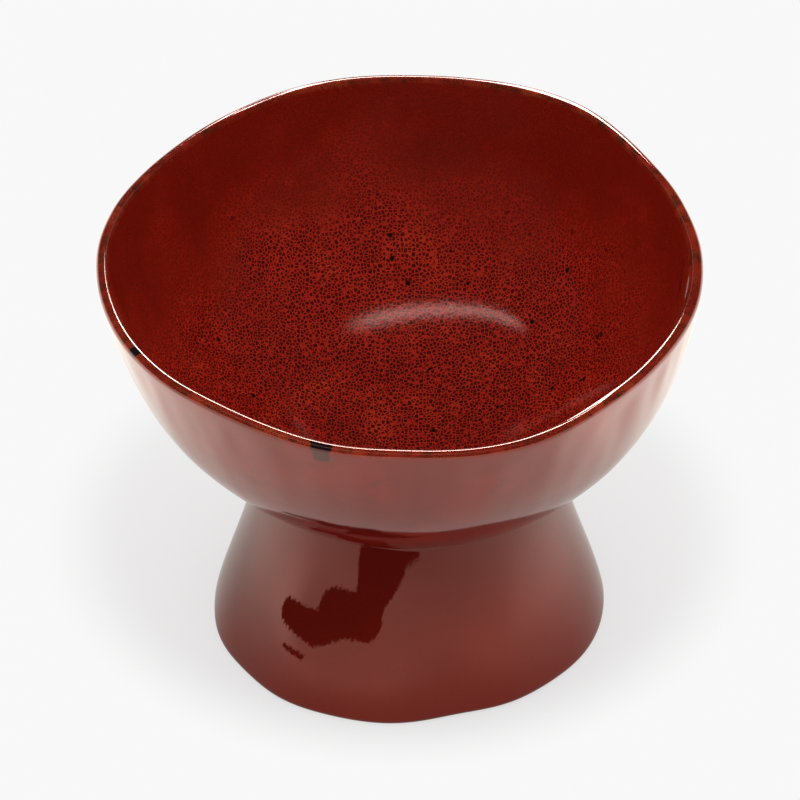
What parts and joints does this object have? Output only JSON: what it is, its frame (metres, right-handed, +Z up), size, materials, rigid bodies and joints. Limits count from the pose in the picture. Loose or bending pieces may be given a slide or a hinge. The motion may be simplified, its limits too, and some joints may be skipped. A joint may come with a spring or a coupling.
{
  "type": "footed bowl",
  "caption": "Deep round serving bowl with a wavy hand-pinched lip, raised on a hollow flared foot ring and coated in a glossy deep red glaze.",
  "frame": {"origin": "on the surface the bowl stands on, under the middle of the whole bowl's outline seen from above", "axes": "+Z up; -Y towards the pictured front; +X to the right seen from the front"},
  "size_m": [0.2758, 0.2823, 0.2062],
  "materials": {
    "bowl_glaze": "glossy, crystalline speckle",
    "slip": "matte, fired",
    "foot_glaze": "glossy"
  },
  "bodies": {
    "root": {"bowl": "bowl_glaze", "slip_joint": "slip", "foot": "foot_glaze"}
  },
  "joints": []
}
